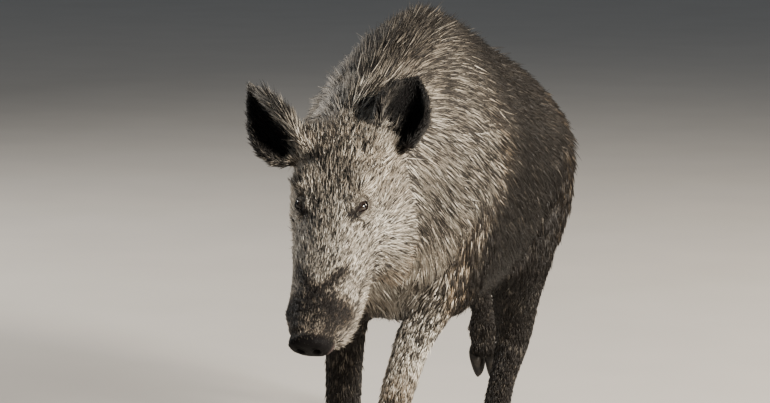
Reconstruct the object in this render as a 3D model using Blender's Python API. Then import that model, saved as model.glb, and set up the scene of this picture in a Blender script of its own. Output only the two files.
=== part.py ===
"""A life-size wild boar, walking with one hind foot lifted, as a still model that stands on the floor.

Every solid gives the outline of the coat, out to the tips of the hair. The body is modelled whole, then
parted by thin cuts into the pieces that a person would name. Metres, +Z up, the head towards -Y and the
animal's left side towards +X. The floor is z = 0.
"""

import math

import bmesh
import bpy
import numpy as np
from mathutils import Matrix, Vector

# ---- Driving dimensions -------------------------------------------------------------------------
HUMP_HEIGHT = 0.895  # tips of the mane over the shoulders
CROUP_HEIGHT = 0.792
CHEST_FLOOR = 0.362  # underside of the chest between the forelegs
TRUNK_HALF_WIDTH = 0.175
RUMP_Y = 0.632  # rearmost point of the buttocks, measured from the hump at y = 0
HEAD_LENGTH = 0.418  # poll to the face of the snout disc
HEAD_DROP = math.radians(58)  # the head's axis below the horizontal
HEAD_TURN = math.radians(-2)  # above zero is towards the animal's right
POLL = Vector((-0.004, -0.385, 0.755))
EAR_LENGTH = 0.150
EAR_THICKNESS = 0.009
EYE_RADIUS = 0.0125
EARS = {  # side, share of the head, distance from the middle, outward lean, backward lean, outward facing
    "ear_left": (1, 0.120, 0.080, math.radians(9), math.radians(34), math.radians(12)),
    "ear_right": (-1, 0.150, 0.070, math.radians(44), math.radians(3), math.radians(10)),
}
TAIL_LENGTH = 0.26
CORONET = 0.036  # height of the top of a hoof
CUT = 0.0005  # clear gap between neighbouring nodes
WELD = 0.00002  # points nearer than this are one
VOXEL = 0.008  # fineness of the skin that joins the body's masses
BODY_TRIANGLES = 3150  # of the whole body, before it is parted

# ---- Trunk and neck: y, top, floor, half width, middle x ------------------------------------------
TRUNK = {
    "buttock_end": (RUMP_Y, 0.640, 0.500, 0.048, 0.0),
    "buttock": (RUMP_Y - 0.028, 0.695, 0.450, 0.100, 0.0),
    "croup": (0.520, 0.757, 0.412, 0.150, 0.0),
    "hip": (0.420, CROUP_HEIGHT, 0.394, 0.168, 0.0),
    "loin": (0.300, 0.824, 0.366, 0.170, 0.0),
    "mid_back": (0.180, 0.860, CHEST_FLOOR - 0.012, TRUNK_HALF_WIDTH, 0.0),
    "ribs": (0.060, 0.890, CHEST_FLOOR - 0.010, TRUNK_HALF_WIDTH, 0.0),
    "hump": (-0.020, HUMP_HEIGHT, CHEST_FLOOR - 0.006, 0.170, 0.0),
    "shoulder": (-0.120, 0.882, CHEST_FLOOR, 0.166, 0.0),
    "brisket": (-0.210, 0.852, 0.402, 0.149, 0.0),
    "neck": (-0.290, 0.818, 0.452, 0.122, -0.002),
    "nape": (-0.350, 0.785, 0.496, 0.104, -0.004),
    "behind_ears": (-0.400, 0.742, 0.550, 0.074, -0.004),
}

# ---- Head: share of its length from poll to disc, brow line, jaw line, half width -----------------
HEAD = {
    "poll": (-0.06, -0.030, -0.150, 0.060),
    "ears": (0.05, 0.000, -0.215, 0.084),
    "cheeks": (0.18, 0.006, -0.232, 0.090),
    "behind_eyes": (0.30, 0.005, -0.215, 0.085),
    "eyes": (0.42, 0.000, -0.184, 0.075),
    "face": (0.56, -0.006, -0.166, 0.066),
    "muzzle": (0.70, -0.010, -0.145, 0.058),
    "tusk_bulge": (0.81, -0.012, -0.130, 0.055),
    "lip": (0.895, -0.012, -0.110, 0.046),
    "nose": (0.944, -0.008, -0.078, 0.037),
    "disc": (0.978, -0.008, -0.068, 0.036),
}
EYE_SHARE = 0.385  # along the head
EYE_SIDE = 0.048  # of the middle plane
EYE_FORWARD = 0.85  # how far the eyes look to the front, against 1 to the side
EYE_DEPTH = 0.027  # below the brow line
MOUTH_DEPTH = 0.078  # mouth line below the brow line
MOUTH_CORNER = 0.66  # share of the head's length
DISC_BACK = 0.941  # where the snout disc begins

# ---- Legs: x, y, z, half depth, half width, from the top down --------------------------------------
LEGS = {
    "front_left": {
        "shoulder": (0.085, -0.120, 0.610, 0.115, 0.070),
        "elbow": (0.086, -0.140, 0.440, 0.070, 0.052),
        "forearm": (0.060, -0.230, 0.325, 0.038, 0.034),
        "carpus": (0.044, -0.296, 0.205, 0.032, 0.030),
        "cannon": (0.043, -0.308, 0.135, 0.026, 0.026),
        "fetlock": (0.042, -0.318, 0.078, 0.031, 0.030),
        "pastern": (0.041, -0.336, 0.034, 0.030, 0.031),
    },
    "front_right": {
        "shoulder": (-0.085, -0.110, 0.610, 0.115, 0.070),
        "elbow": (-0.098, -0.090, 0.430, 0.080, 0.054),
        "forearm": (-0.094, -0.116, 0.320, 0.043, 0.036),
        "carpus": (-0.091, -0.132, 0.205, 0.033, 0.032),
        "cannon": (-0.087, -0.120, 0.135, 0.026, 0.026),
        "fetlock": (-0.085, -0.108, 0.078, 0.031, 0.030),
        "pastern": (-0.084, -0.124, 0.034, 0.030, 0.031),
    },
    "hind_left": {
        "hip": (0.082, 0.410, 0.600, 0.135, 0.078),
        "stifle": (0.100, 0.330, 0.440, 0.105, 0.060),
        "gaskin": (0.088, 0.330, 0.345, 0.066, 0.046),
        "hock": (0.074, 0.362, 0.255, 0.044, 0.033),
        "cannon": (0.064, 0.306, 0.165, 0.028, 0.027),
        "fetlock": (0.058, 0.268, 0.080, 0.031, 0.030),
        "pastern": (0.056, 0.246, 0.034, 0.030, 0.030),
    },
    "hind_right": {
        "hip": (-0.080, 0.430, 0.600, 0.130, 0.078),
        "stifle": (-0.098, 0.380, 0.480, 0.105, 0.058),
        "gaskin": (-0.086, 0.480, 0.430, 0.064, 0.042),
        "hock": (-0.070, 0.572, 0.388, 0.041, 0.030),
        "cannon": (-0.062, 0.598, 0.300, 0.026, 0.024),
        "fetlock": (-0.058, 0.616, 0.222, 0.028, 0.026),
        "pastern": (-0.056, 0.610, 0.180, 0.025, 0.027),
    },
}
KNEE_CUT = {"front_left": 0.200, "front_right": 0.200, "hind_left": 0.232, "hind_right": 0.360}

# ---- Feet: x and y of the sole's middle, height of the sole, and how far the toe points down --------
FEET = {
    "front_left": (0.041, -0.348, 0.0, 0.0),
    "front_right": (-0.084, -0.136, 0.0, 0.0),
    "hind_left": (0.056, 0.234, 0.0, 0.0),
    "hind_right": (-0.056, 0.628, 0.156, math.radians(62)),
}
CLAW_SPACING = 0.0155  # middle of each claw from the foot's middle
CLAW_LENGTH = 0.058
CLAW_WIDTH = 0.027
CLAW_TAPER = 0.42  # share of its width that a claw loses at the toe
CLAW_SPLAY = math.radians(4)
DEWCLAW_PLACE = (0.021, 0.050, 0.050)  # outward, behind and above the sole's middle
DEWCLAW_PITCH = math.radians(28)
DEWCLAW_HANG = 0.60  # share of a turned-down foot's pitch that its dewclaws don't follow
DEWCLAW_SPLAY = math.radians(14)

# ---- Claw and dewclaw, from the bottom or the root on -----------------------------------------------
CLAW_LEVELS = (  # height, share of the length, share of the width, middle
    (0.0000, 0.93, 0.93, -0.004),
    (0.0020, 1.00, 1.00, -0.004),
    (0.0140, 0.97, 1.02, 0.000),
    (0.0260, 0.88, 1.00, 0.004),
    (CORONET, 0.76, 0.96, 0.008),
)
DEWCLAW_LEVELS = (  # height, radius, drift to the back
    (0.012, 0.0085, 0.000),
    (0.000, 0.0095, 0.000),
    (-0.014, 0.0080, 0.002),
    (-0.026, 0.0045, 0.006),
)

# ---- Tail: x, y, z, half depth, half width, from the root to the tip of the tassel ------------------
TAIL = {
    "inside": (0.000, 0.590, 0.655, 0.020, 0.020),
    "root": (0.000, 0.628, 0.648, 0.018, 0.018),
    "bend": (0.002, 0.652, 0.610, 0.015, 0.014),
    "upper": (0.006, 0.658, 0.550, 0.013, 0.012),
    "lower": (0.010, 0.656, 0.490, 0.013, 0.014),
    "tassel": (0.014, 0.654, 0.440, 0.013, 0.021),
    "tip": (0.016, 0.652, 0.655 - TAIL_LENGTH, 0.004, 0.007),
}

# ---- Muscles, the same on both sides ------------------------------------------------------------------
BODY_LUMPS = {  # middle, with x out to the side, and radii
    "shoulder": ((0.088, -0.085, 0.560), (0.080, 0.125, 0.190)),
    "thigh": ((0.080, 0.455, 0.545), (0.078, 0.145, 0.165)),
    "throat": ((0.056, -0.320, 0.580), (0.062, 0.100, 0.120)),
}
HEAD_LUMPS = {  # share of the head, side, rise, and radii
    "cheek": ((0.27, 0.060, -0.135), (0.044, 0.062, 0.080)),
    "brow": ((0.33, 0.048, -0.026), (0.026, 0.028, 0.046)),
    "ear_base": ((0.12, 0.050, -0.040), (0.040, 0.044, 0.048)),
}

# ---- Cuts that part the neck and the head: a point and the way to the piece that comes off ----------
NECK_CUT = Vector((0, -0.245, 0.62)), Vector((0, -1, -0.22))
HEAD_CUT_SHARE = 0.02
HEAD_CUT_FALL = 0.28
FRONT_LIMB_TOP, FRONT_LIMB_SPREAD = 0.600, 0.125
HIND_LIMB_TOP, HIND_LIMB_SPREAD = 0.625, 0.150
DOWN = Vector((0, 0, -1))

COLOURS = {
    "coat_dark": (0.045, 0.036, 0.030),
    "coat_grey": (0.230, 0.195, 0.155),
    "face": (0.300, 0.255, 0.205),
    "leg": (0.030, 0.024, 0.020),
    "nose": (0.040, 0.032, 0.030),
    "eye": (0.012, 0.008, 0.006),
    "hoof": (0.060, 0.050, 0.042),
}


# ---- Tools -----------------------------------------------------------------------------------------
def clear_scene():
    for obj in list(bpy.data.objects):
        bpy.data.objects.remove(obj, do_unlink=True)


def through(stations, steps):
    """Rows on a smooth curve through the stations, with this many rows from each one to the next."""
    knots = np.array(list(stations), float)
    ends = (2 * knots[0] - knots[1], 2 * knots[-1] - knots[-2])
    knots = np.vstack([ends[0], knots, ends[1]])
    rows = []
    for before, start, end, after in zip(knots, knots[1:], knots[2:], knots[3:]):
        for t in np.arange(steps) / steps:
            bend = (2 * before - 5 * start + 4 * end - after) * t**2
            twist = (3 * start - before - 3 * end + after) * t**3
            rows.append((2 * start + (end - before) * t + bend + twist) / 2)
    return np.vstack([rows, knots[-2]])


def add_ring(bm, centre, across, up, crest=0.0, power=2.2, segments=28):
    """A ring of vertices on a superellipse, its upper half narrowed by the share called crest."""
    ring = []
    for i in range(segments):
        turn = 2 * math.pi * i / segments
        side, rise = math.cos(turn), math.sin(turn)
        side = math.copysign(abs(side) ** (2 / power), side)
        rise = math.copysign(abs(rise) ** (2 / power), rise)
        side *= 1 - crest * max(rise, 0.0) ** 2
        ring.append(bm.verts.new(centre + across * side + up * rise))
    return ring


def add_loft(bm, rings):
    """Skins a row of rings that have equal counts and closes both ends."""
    count = len(rings[0])
    for first, second in zip(rings, rings[1:]):
        for i in range(count):
            j = (i + 1) % count
            bm.faces.new((first[i], first[j], second[j], second[i]))
    bm.faces.new(rings[0][::-1])
    bm.faces.new(rings[-1])


def add_lump(bm, centre, radii):
    """An ellipsoid that fills out a muscle."""
    place = Matrix.Translation(centre) @ Matrix.Diagonal((*radii, 1))
    bmesh.ops.create_uvsphere(bm, u_segments=24, v_segments=16, radius=1, matrix=place)


def mesh_from(bm, name):
    bmesh.ops.recalc_face_normals(bm, faces=bm.faces)
    mesh = bpy.data.meshes.new(name)
    bm.to_mesh(mesh)
    bm.free()
    return mesh


def object_from(bm, name):
    obj = bpy.data.objects.new(name, mesh_from(bm, name))
    bpy.context.scene.collection.objects.link(obj)
    return obj


def apply_modifiers(obj):
    graph = bpy.context.evaluated_depsgraph_get()
    mesh = bpy.data.meshes.new_from_object(obj.evaluated_get(graph))
    obj.modifiers.clear()
    obj.data = mesh


def boolean(obj, other, operation):
    modifier = obj.modifiers.new("cut", "BOOLEAN")
    modifier.operation = operation
    modifier.object = other
    modifier.solver = "EXACT"
    apply_modifiers(obj)


def copy_of(obj, name):
    twin = obj.copy()
    twin.data = obj.data.copy()
    twin.name = name
    bpy.context.scene.collection.objects.link(twin)
    return twin


def keep_largest(obj):
    """Drops crumbs that a cut leaves, so that the piece is one body."""
    bm = bmesh.new()
    bm.from_mesh(obj.data)
    left = set(bm.verts)
    islands = []
    while left:
        island, edge = set(), {left.pop()}
        while edge:
            island |= edge
            edge = {e.other_vert(v) for v in edge for e in v.link_edges} - island
        left -= island
        islands.append(island)
    islands.sort(key=len)
    crumbs = [v for island in islands[:-1] for v in island]
    bmesh.ops.delete(bm, geom=crumbs, context="VERTS")
    bmesh.ops.remove_doubles(bm, verts=bm.verts, dist=WELD)
    bmesh.ops.dissolve_degenerate(bm, edges=bm.edges, dist=WELD)
    bmesh.ops.holes_fill(bm, edges=[e for e in bm.edges if e.is_boundary], sides=0)
    bmesh.ops.triangulate(bm, faces=bm.faces)
    bm.to_mesh(obj.data)
    bm.free()


def take(body, name, region):
    """Parts off the piece of the body inside region(clearance), with a thin gap all along the cut."""
    piece = copy_of(body, name)
    for obj, operation, clearance in ((piece, "INTERSECT", -CUT / 2), (body, "DIFFERENCE", CUT / 2)):
        cutter = region(clearance)
        boolean(obj, cutter, operation)
        bpy.data.objects.remove(cutter, do_unlink=True)
        keep_largest(obj)
    return piece


def trim(obj, point, normal):
    """Cuts away what lies beyond the plane and closes the cut."""
    bm = bmesh.new()
    bm.from_mesh(obj.data)
    geometry = [*bm.verts, *bm.edges, *bm.faces]
    cut = bmesh.ops.bisect_plane(
        bm, geom=geometry, plane_co=point, plane_no=normal, clear_outer=True, dist=1e-6
    )
    rim = [e for e in cut["geom_cut"] if isinstance(e, bmesh.types.BMEdge)]
    bmesh.ops.edgeloop_fill(bm, edges=rim)
    bm.to_mesh(obj.data)
    bm.free()
    keep_largest(obj)


def slice_off(body, name, point, normal):
    """Parts off what lies beyond the plane, with a thin gap along the cut."""
    piece = copy_of(body, name)
    half = normal.normalized() * CUT / 2
    trim(body, point - half, normal)
    trim(piece, point + half, -normal)
    return piece


def paint(obj, colour, roughness):
    material = bpy.data.materials.new(obj.name)
    material.use_nodes = True
    shader = material.node_tree.nodes["Principled BSDF"]
    shader.inputs["Base Color"].default_value = (*COLOURS[colour], 1)
    shader.inputs["Roughness"].default_value = roughness
    shader.inputs["Metallic"].default_value = 0.0
    obj.data.materials.clear()
    obj.data.materials.append(material)
    obj.data.shade_smooth()
    obj.data.set_sharp_from_angle(angle=math.radians(40))


# ---- The head's own frame --------------------------------------------------------------------------
SIDE = Vector((math.cos(HEAD_TURN), -math.sin(HEAD_TURN), 0))
AHEAD = Vector((-math.sin(HEAD_TURN), -math.cos(HEAD_TURN), 0))
AXIS = AHEAD * math.cos(HEAD_DROP) - Vector((0, 0, 1)) * math.sin(HEAD_DROP)
BROW = AHEAD * math.sin(HEAD_DROP) + Vector((0, 0, 1)) * math.cos(HEAD_DROP)


def on_head(share, side, rise):
    """A point at a share of the head's length, to one side, and above the brow line."""
    return POLL + AXIS * (share * HEAD_LENGTH) + SIDE * side + BROW * rise


# ---- The body's masses -----------------------------------------------------------------------------
def add_trunk(bm):
    rings = []
    for y, top, floor, half_width, middle in through(TRUNK.values(), 5):
        centre = Vector((middle, y, (top + floor) / 2))
        across = Vector((half_width, 0, 0))
        up = Vector((0, 0, (top - floor) / 2))
        rings.append(add_ring(bm, centre, across, up, crest=0.42))
    add_loft(bm, rings)


def add_head(bm):
    rings = []
    for share, brow, jaw, half_width in through(HEAD.values(), 5):
        centre = on_head(share, 0, (brow + jaw) / 2)
        rings.append(add_ring(bm, centre, SIDE * half_width, BROW * (brow - jaw) / 2, crest=0.14, power=2.5))
    add_loft(bm, rings)
    for (share, offset, rise), radii in HEAD_LUMPS.values():
        for side in (-1, 1):
            add_lump(bm, on_head(share, side * offset, rise), radii)


def add_leg(bm, joints):
    rings = []
    for x, y, z, half_depth, half_width in through(joints.values(), 4):
        centre = Vector((x, y, z))
        rings.append(add_ring(bm, centre, Vector((half_width, 0, 0)), Vector((0, half_depth, 0))))
    add_loft(bm, rings)


def add_muscles(bm):
    for (x, y, z), radii in BODY_LUMPS.values():
        for side in (-1, 1):
            add_lump(bm, (side * x, y, z), radii)


def make_body():
    bm = bmesh.new()
    add_trunk(bm)
    add_head(bm)
    add_muscles(bm)
    for joints in LEGS.values():
        add_leg(bm, joints)
    body = object_from(bm, "trunk")
    remesh = body.modifiers.new("skin", "REMESH")
    remesh.mode = "VOXEL"
    remesh.voxel_size = VOXEL
    soften = body.modifiers.new("soften", "SMOOTH")
    soften.factor = 0.5
    soften.iterations = 8
    apply_modifiers(body)
    body.modifiers.new("triangulate", "TRIANGULATE")
    apply_modifiers(body)
    reduce = body.modifiers.new("reduce", "DECIMATE")
    reduce.ratio = BODY_TRIANGLES / len(body.data.polygons)
    apply_modifiers(body)
    return body


# ---- Where the body is parted ----------------------------------------------------------------------
def stack(levels):
    """A region stacked from level ellipses: z, middle x, middle y, half width, half depth."""

    def region(clearance):
        bm = bmesh.new()
        rings = []
        for z, x, y, half_width, half_depth in through(levels, 2):
            across = Vector((half_width + clearance, 0, 0))
            up = Vector((0, half_depth + clearance, 0))
            rings.append(add_ring(bm, Vector((x, y, z)), across, up, power=2.0, segments=16))
        add_loft(bm, rings)
        top = max(v.co.z for v in bm.verts)
        for vert in bm.verts:
            if vert.co.z > top - 1e-6:
                vert.co.z += clearance
        return object_from(bm, "cutter")

    return region


def limb_region(joints, top, spread):
    """The region that holds one leg, from under the foot up into the shoulder or the thigh."""
    names = list(joints)
    side = math.copysign(1, joints[names[0]][0])
    foot, middle, upper = (Vector(joints[names[i]][:3]) for i in (-1, 2, 0))
    return stack(
        (
            (foot.z - 0.14, side * 0.090, foot.y, 0.080, 0.16),
            (middle.z - 0.05, side * 0.092, (foot.y + middle.y) / 2, 0.084, 0.20),
            (middle.z + 0.04, side * 0.100, middle.y * 0.6 + upper.y * 0.4, 0.088, spread),
            ((middle.z + top) / 2 + 0.02, side * 0.135, upper.y, 0.100, spread * 0.98),
            (top - 0.04, side * 0.160, upper.y, 0.082, spread * 0.62),
            (top, side * 0.165, upper.y, 0.050, spread * 0.30),
        )
    )


def jaw_region(clearance):
    """A box below the mouth line and ahead of the mouth's corner."""
    size = 0.30
    corner = on_head(MOUTH_CORNER, 0, -MOUTH_DEPTH)
    centre = corner + AXIS * (size / 2 - clearance) - BROW * (size / 2 - clearance)
    turn = Matrix((SIDE, AXIS, BROW)).transposed().to_4x4()
    bm = bmesh.new()
    bmesh.ops.create_cube(bm, size=size, matrix=Matrix.Translation(centre) @ turn)
    return object_from(bm, "cutter")


def part_body(body):
    """Cuts the whole body into its named pieces."""
    pieces = {"trunk": body}
    for name, joints in LEGS.items():
        front = name.startswith("front")
        if front:
            region = limb_region(joints, FRONT_LIMB_TOP, FRONT_LIMB_SPREAD)
        else:
            region = limb_region(joints, HIND_LIMB_TOP, HIND_LIMB_SPREAD)
        upper = take(body, name + "_upper_leg", region)
        x, y = joints["carpus" if front else "hock"][:2]
        foot = slice_off(upper, name + "_lower_leg", Vector((x, y, KNEE_CUT[name])), DOWN)
        place = foot_frame(name)
        top_of_hoof = place @ Vector((0, 0, CORONET + CUT))
        trim(foot, top_of_hoof, place.to_3x3() @ DOWN)
        pieces[upper.name] = upper
        pieces[foot.name] = foot
    neck = slice_off(body, "neck", *NECK_CUT)
    head = slice_off(neck, "head", on_head(HEAD_CUT_SHARE, 0, 0), AHEAD + DOWN * HEAD_CUT_FALL)
    pieces["neck"], pieces["head"] = neck, head
    pieces["lower_jaw"] = take(head, "lower_jaw", jaw_region)
    pieces["snout_disc"] = slice_off(head, "snout_disc", on_head(DISC_BACK, 0, 0), AXIS)
    return pieces


# ---- Pieces of their own ---------------------------------------------------------------------------
def foot_frame(name):
    """The place of a foot: the sole's middle, with the toe towards -Y and turned down by its pitch."""
    x, y, z, pitch = FEET[name]
    return Matrix.Translation((x, y, z)) @ Matrix.Rotation(pitch, 4, "X")


def claw_mesh():
    """One claw of a cloven hoof: toe towards -Y, flat sole at z = 0, sloping wall, flat top."""
    bm = bmesh.new()
    rings = []
    for z, long, wide, middle in CLAW_LEVELS:
        ring = add_ring(
            bm,
            Vector((0, middle, z)),
            Vector((CLAW_WIDTH / 2 * wide, 0, 0)),
            Vector((0, CLAW_LENGTH / 2 * long, 0)),
            power=2.4,
            segments=12,
        )
        for vert in ring:
            toe = max(0.0, -(vert.co.y - middle) / (CLAW_LENGTH / 2))
            vert.co.x *= 1 - CLAW_TAPER * toe**2
        rings.append(ring)
    add_loft(bm, rings)
    return mesh_from(bm, "claw")


def dewclaw_mesh():
    """A small blunt horn that points back and down from the pastern, along -Z."""
    bm = bmesh.new()
    rings = []
    for z, radius, drift in DEWCLAW_LEVELS:
        across, up = Vector((radius, 0, 0)), Vector((0, radius * 0.8, 0))
        rings.append(add_ring(bm, Vector((0, drift, z)), across, up, segments=7))
    add_loft(bm, rings)
    return mesh_from(bm, "dewclaw")


def add_object(name, mesh, matrix):
    obj = bpy.data.objects.new(name, mesh.copy())
    obj.matrix_world = matrix
    bpy.context.scene.collection.objects.link(obj)
    return obj


def make_feet(pieces):
    claw, dewclaw = claw_mesh(), dewclaw_mesh()
    for name in LEGS:
        frame = foot_frame(name)
        left = -1 if name.endswith("right") else 1
        for place, side in (("outer", left), ("inner", -left)):
            splay = Matrix.Rotation(-CLAW_SPLAY * side, 4, "Z")
            spot = Matrix.Translation((side * CLAW_SPACING, 0, 0))
            hoof = add_object(f"{name}_hoof_{place}", claw, frame @ spot @ splay)
            pieces[hoof.name] = hoof
            x, y, z = DEWCLAW_PLACE
            spot = Matrix.Translation((side * x, y, z))
            hang = DEWCLAW_HANG * max(0.0, FEET[name][3])
            pitch = Matrix.Rotation(DEWCLAW_PITCH - hang, 4, "X")
            lean = Matrix.Rotation(-DEWCLAW_SPLAY * side, 4, "Y")
            horn = add_object(f"{name}_dewclaw_{place}", dewclaw, frame @ spot @ pitch @ lean)
            settle(horn, pieces[name + "_lower_leg"])
            pieces[horn.name] = horn


def settle(obj, *neighbours):
    """Cuts the neighbours, swollen by the gap, out of the object, so that it sits on them."""
    obj.data.transform(obj.matrix_world)
    obj.matrix_world = Matrix.Identity(4)
    for neighbour in neighbours:
        cutter = copy_of(neighbour, "cutter")
        swell = cutter.modifiers.new("swell", "DISPLACE")
        swell.strength = CUT
        swell.mid_level = 0
        apply_modifiers(cutter)
        boolean(obj, cutter, "DIFFERENCE")
        bpy.data.objects.remove(cutter, do_unlink=True)
    keep_largest(obj)


def ear_mesh(side):
    """A cupped leaf: root at the origin, tip along +Z, hollow side towards -Y, outer edge to the side."""
    across, along = 8, 8
    bm = bmesh.new()
    grid = []
    for i in range(along + 1):
        t = i / along
        half = 0.021 + 0.018 * math.sin(math.pi * min(t * 1.15, 1) ** 0.8)
        half *= math.sqrt(max(1 - t**4.0, 0.006))
        wrap = math.radians(122 - 50 * t)
        row = []
        for j in range(across + 1):
            turn = wrap * (2 * j / across - 1)
            reach = half / math.sin(min(wrap, math.pi / 2))
            x = reach * math.sin(turn)
            y = reach * (1 - math.cos(turn)) * -0.9
            row.append(bm.verts.new((x * side, y + 0.018 * t**2, EAR_LENGTH * t)))
        grid.append(row)
    for low, high in zip(grid, grid[1:]):
        for j in range(across):
            bm.faces.new((low[j], low[j + 1], high[j + 1], high[j]))
    return mesh_from(bm, "ear")


def make_ears(pieces):
    for name, (side, share, offset, lean, tilt, facing) in EARS.items():
        root = on_head(share, side * offset, -0.046)
        upright = Vector((0, 0, 1)) * math.cos(lean) + SIDE * side * math.sin(lean)
        tip = (upright * math.cos(tilt) - AHEAD * math.sin(tilt)).normalized()
        opening = AHEAD * math.cos(facing) + SIDE * side * math.sin(facing)
        back = (tip * tip.dot(opening) - opening).normalized()
        turn = Matrix((back.cross(tip), back, tip)).transposed().to_4x4()
        ear = add_object(name, ear_mesh(side), Matrix.Translation(root) @ turn)
        wall = ear.modifiers.new("wall", "SOLIDIFY")
        wall.thickness = EAR_THICKNESS
        wall.offset = 0
        apply_modifiers(ear)
        settle(ear, pieces["head"], pieces["neck"])
        pieces[name] = ear


def make_eyes(pieces):
    for name, side in (("eye_left", 1), ("eye_right", -1)):
        centre = on_head(EYE_SHARE, side * EYE_SIDE, -EYE_DEPTH)
        look = (SIDE * side + BROW * EYE_FORWARD + AXIS * 0.1).normalized()
        turn = look.to_track_quat("Z", "Y").to_matrix().to_4x4()
        place = Matrix.Translation(centre) @ turn
        bm = bmesh.new()
        bmesh.ops.create_uvsphere(bm, u_segments=12, v_segments=8, radius=EYE_RADIUS + 2 * CUT)
        socket = object_from(bm, "socket")
        socket.matrix_world = place
        bm = bmesh.new()
        bmesh.ops.create_cone(
            bm,
            cap_ends=True,
            segments=12,
            radius1=EYE_RADIUS * 0.96,
            radius2=EYE_RADIUS * 1.52,
            depth=EYE_RADIUS * 2.4,
            matrix=Matrix.Translation((0, 0, EYE_RADIUS * 1.6)),
        )
        opening = object_from(bm, "opening")
        opening.matrix_world = place
        for cutter in (socket, opening):
            boolean(pieces["head"], cutter, "DIFFERENCE")
            bpy.data.objects.remove(cutter, do_unlink=True)
        keep_largest(pieces["head"])
        bm = bmesh.new()
        bmesh.ops.create_uvsphere(bm, u_segments=12, v_segments=8, radius=EYE_RADIUS)
        eye = object_from(bm, name)
        eye.matrix_world = place
        pieces[name] = eye


def make_tail(pieces):
    """A thin tail that hangs straight behind the buttocks and ends in a flat tassel."""
    bm = bmesh.new()
    rings = []
    rows = through(TAIL.values(), 2)
    for row, following in zip(rows, [*rows[1:], 2 * rows[-1] - rows[-2]]):
        run = Vector(following[:3] - row[:3]).normalized()
        across = run.cross(Vector((0, 1, 0.4))).normalized()
        up = across.cross(run).normalized()
        rings.append(add_ring(bm, Vector(row[:3]), across * row[4], up * row[3], segments=10))
    add_loft(bm, rings)
    tail = object_from(bm, "tail")
    settle(tail, pieces["trunk"], pieces["hind_left_upper_leg"], pieces["hind_right_upper_leg"])
    pieces["tail"] = tail


def colour_of(name):
    if "hoof" in name or "dewclaw" in name:
        return "hoof"
    if "leg" in name:
        return "leg"
    if "eye" in name:
        return "eye"
    others = {"trunk": "coat_dark", "tail": "coat_dark", "snout_disc": "nose", "neck": "coat_grey"}
    return others.get(name, "face")


def gather(pieces):
    """Hangs every piece on one empty and stands it with the middle of its outline over the origin."""
    bpy.context.view_layer.update()
    corners = [
        piece.matrix_world @ Vector(corner) for piece in pieces.values() for corner in piece.bound_box
    ]
    middle = [(min(c[i] for c in corners) + max(c[i] for c in corners)) / 2 for i in (0, 1)]
    boar = bpy.data.objects.new("boar", None)
    boar.location = (-middle[0], -middle[1], 0)
    bpy.context.scene.collection.objects.link(boar)
    for piece in pieces.values():
        piece.parent = boar


def main():
    clear_scene()
    pieces = part_body(make_body())
    make_eyes(pieces)
    make_ears(pieces)
    make_tail(pieces)
    make_feet(pieces)
    gather(pieces)
    for name, piece in pieces.items():
        paint(piece, colour_of(name), 0.25 if "eye" in name else 0.7)


main()
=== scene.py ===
"""The looks of a life-size wild boar: one skin, a bristle coat over it, eyes, hooves and studio light.

Metres, +Z up, head towards -Y, the animal's left side towards +X. Every hair is a closed spindle of solid
mesh, and all random choices are seeded.
"""

import math

import bmesh
import bpy
import numpy as np
from mathutils import Matrix, Vector, noise
from mathutils.bvhtree import BVHTree
from mathutils.kdtree import KDTree


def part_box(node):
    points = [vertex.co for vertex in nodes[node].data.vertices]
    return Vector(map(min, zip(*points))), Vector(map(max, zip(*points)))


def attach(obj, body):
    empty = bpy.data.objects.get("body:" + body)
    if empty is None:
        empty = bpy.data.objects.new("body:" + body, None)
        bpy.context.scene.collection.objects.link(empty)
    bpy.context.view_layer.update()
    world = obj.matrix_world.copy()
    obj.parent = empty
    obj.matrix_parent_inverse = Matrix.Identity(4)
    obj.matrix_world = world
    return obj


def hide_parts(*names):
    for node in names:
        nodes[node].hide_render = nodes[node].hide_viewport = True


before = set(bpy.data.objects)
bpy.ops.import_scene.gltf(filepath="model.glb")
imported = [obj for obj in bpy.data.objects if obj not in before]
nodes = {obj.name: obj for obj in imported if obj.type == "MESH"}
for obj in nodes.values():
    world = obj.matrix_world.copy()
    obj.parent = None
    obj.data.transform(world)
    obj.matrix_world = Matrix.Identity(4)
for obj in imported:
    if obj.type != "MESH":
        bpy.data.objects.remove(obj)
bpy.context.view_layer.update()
dice = np.random.default_rng(7)
noise.seed_set(7)

# ---- The animal's frame ----
MIDDLE = np.array((0.0031, -0.0398, 0.0))  # the hump's place on the floor
HEAD_LENGTH = 0.418
HEAD_DROP = math.radians(58)
HEAD_TURN = math.radians(-2)
POLL = np.array((-0.004, -0.385, 0.755)) + MIDDLE
UP = np.array((0.0, 0.0, 1.0))
SIDE = np.array((math.cos(HEAD_TURN), -math.sin(HEAD_TURN), 0.0))
AHEAD = np.array((-math.sin(HEAD_TURN), -math.cos(HEAD_TURN), 0.0))
AXIS = AHEAD * math.cos(HEAD_DROP) - UP * math.sin(HEAD_DROP)
BROW = AHEAD * math.sin(HEAD_DROP) + UP * math.cos(HEAD_DROP)
EAR_LENGTH = 0.150
EYE_RADIUS = 0.0125
EYE_FORWARD, EYE_DOWN = 0.85, 0.1  # how far an eye looks ahead and down the nose, against 1 to its side
EAR_RISE = -0.046
LID_SLANT = 0.52  # how far the inner corner of the eye leans to the nose
LID_HALF_LENGTH, LID_HALF_HEIGHT = 0.0122, 0.0058
NOSTRIL_SHARE, NOSTRIL_SIDE, NOSTRIL_RISE = 0.975, 0.0135, -0.036
MOUTH_RISE = -0.078
TUBE_HEIGHT = 0.62  # of the body's long axis over the floor

EARS = {  # side, share of the head, distance from the middle, outward lean, backward lean, outward facing
    "ear_left": (1, 0.120, 0.080, math.radians(9), math.radians(34), math.radians(12)),
    "ear_right": (-1, 0.150, 0.070, math.radians(44), math.radians(3), math.radians(10)),
}

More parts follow.
